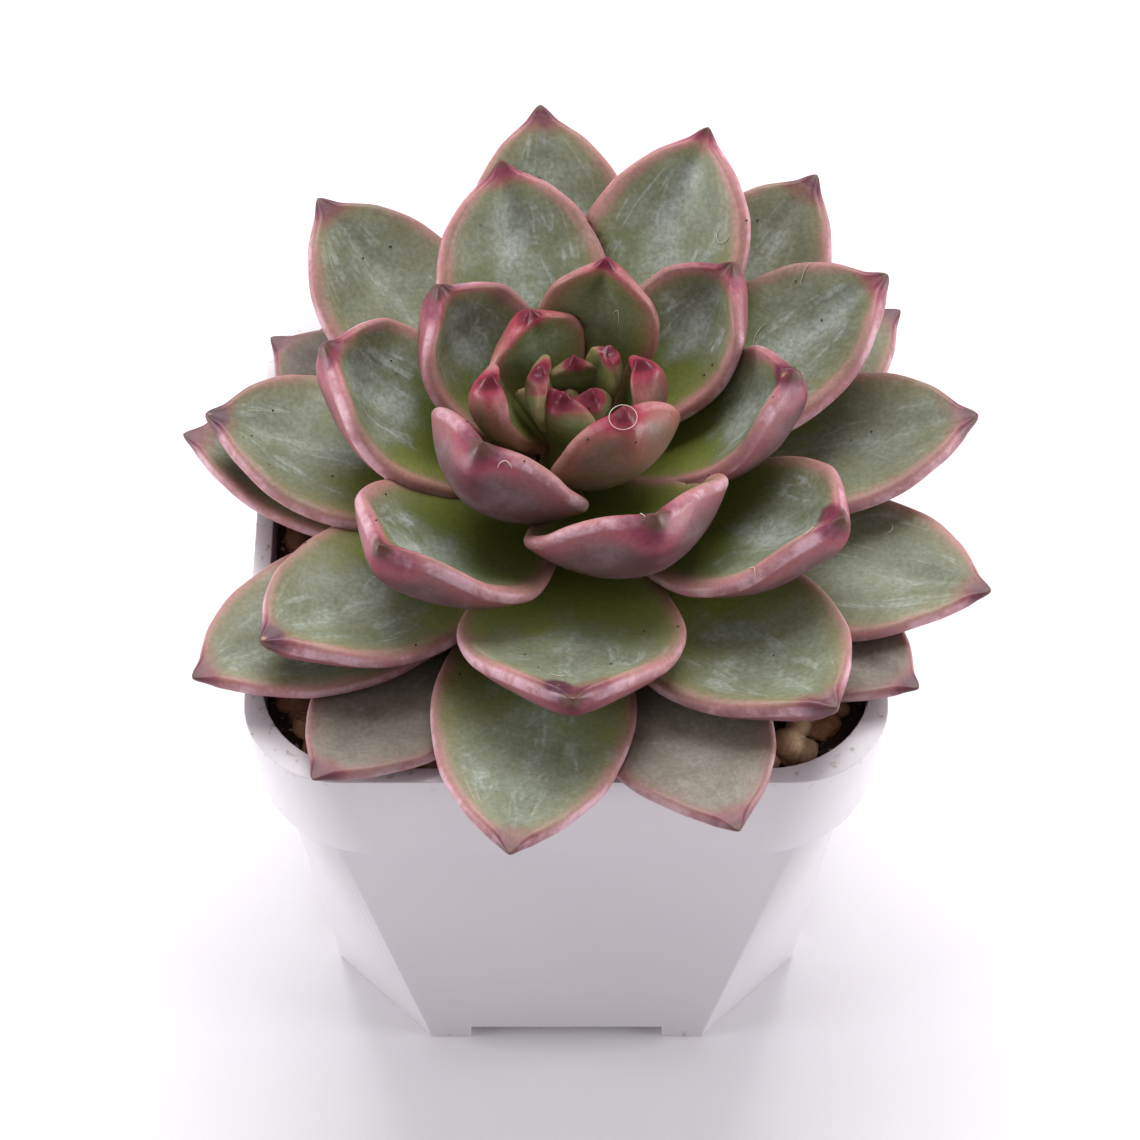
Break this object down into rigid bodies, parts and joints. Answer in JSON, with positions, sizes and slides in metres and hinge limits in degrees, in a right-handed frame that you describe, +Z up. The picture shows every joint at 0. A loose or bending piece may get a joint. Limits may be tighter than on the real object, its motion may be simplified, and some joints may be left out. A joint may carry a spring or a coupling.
{
  "type": "potted succulent",
  "caption": "Small rosette succulent with thick, cupped grey-green leaves edged in pink, growing in soil and gravel in a square white plastic pot.",
  "frame": {"origin": "on the surface the pot stands on, under the middle of the whole plant's box", "axes": "+Z up, -Y towards the front of the pot, +X to the right seen from the front; the pot's sides are parallel to X and Y"},
  "size_m": [0.0946, 0.0996, 0.098],
  "materials": {
    "leaf_green": "satin waxy leaf skin with a pale bloom, yellow-green at the foot and pink along the margins",
    "leaf_red": "satin waxy skin of the youngest leaves, green at the foot and crimson at the tips",
    "stem": "matte fleshy stem",
    "pot_plastic": "semi-gloss moulded white plastic",
    "soil": "rough dark potting mix",
    "gravel": "matte worn tan stone"
  },
  "bodies": {
    "root": {"oldest_leaf_01": "leaf_green", "oldest_leaf_02": "leaf_green", "oldest_leaf_03": "leaf_green", "oldest_leaf_04": "leaf_green", "oldest_leaf_05": "leaf_green", "oldest_leaf_06": "leaf_green", "outer_leaf_01": "leaf_green", "outer_leaf_02": "leaf_green", "outer_leaf_03": "leaf_green", "outer_leaf_04": "leaf_green", "outer_leaf_05": "leaf_green", "outer_leaf_06": "leaf_green", "lower_leaf_01": "leaf_green", "lower_leaf_02": "leaf_green", "lower_leaf_03": "leaf_green", "lower_leaf_04": "leaf_green", "lower_leaf_05": "leaf_green", "lower_leaf_06": "leaf_green", "lower_leaf_07": "leaf_green", "lower_leaf_08": "leaf_green", "middle_leaf_01": "leaf_green", "middle_leaf_02": "leaf_green", "middle_leaf_03": "leaf_green", "middle_leaf_04": "leaf_green", "middle_leaf_05": "leaf_green", "middle_leaf_06": "leaf_green", "inner_leaf_01": "leaf_green", "inner_leaf_02": "leaf_green", "inner_leaf_03": "leaf_green", "inner_leaf_04": "leaf_green", "inner_leaf_05": "leaf_green", "heart_leaf_01": "leaf_red", "heart_leaf_02": "leaf_red", "heart_leaf_03": "leaf_red", "heart_leaf_04": "leaf_red", "heart_leaf_05": "leaf_red", "bud_leaf_01": "leaf_red", "bud_leaf_02": "leaf_red", "bud_leaf_03": "leaf_red", "bud_leaf_04": "leaf_red", "bud_leaf_05": "leaf_red", "pebble_01": "gravel", "pebble_02": "gravel", "pebble_03": "gravel", "pebble_04": "gravel", "pebble_05": "gravel", "pebble_06": "gravel", "pebble_07": "gravel", "pebble_08": "gravel", "pebble_09": "gravel", "pebble_10": "gravel", "pebble_11": "gravel", "pebble_12": "gravel", "pot": "pot_plastic", "soil": "soil", "stem": "stem"}
  },
  "joints": []
}
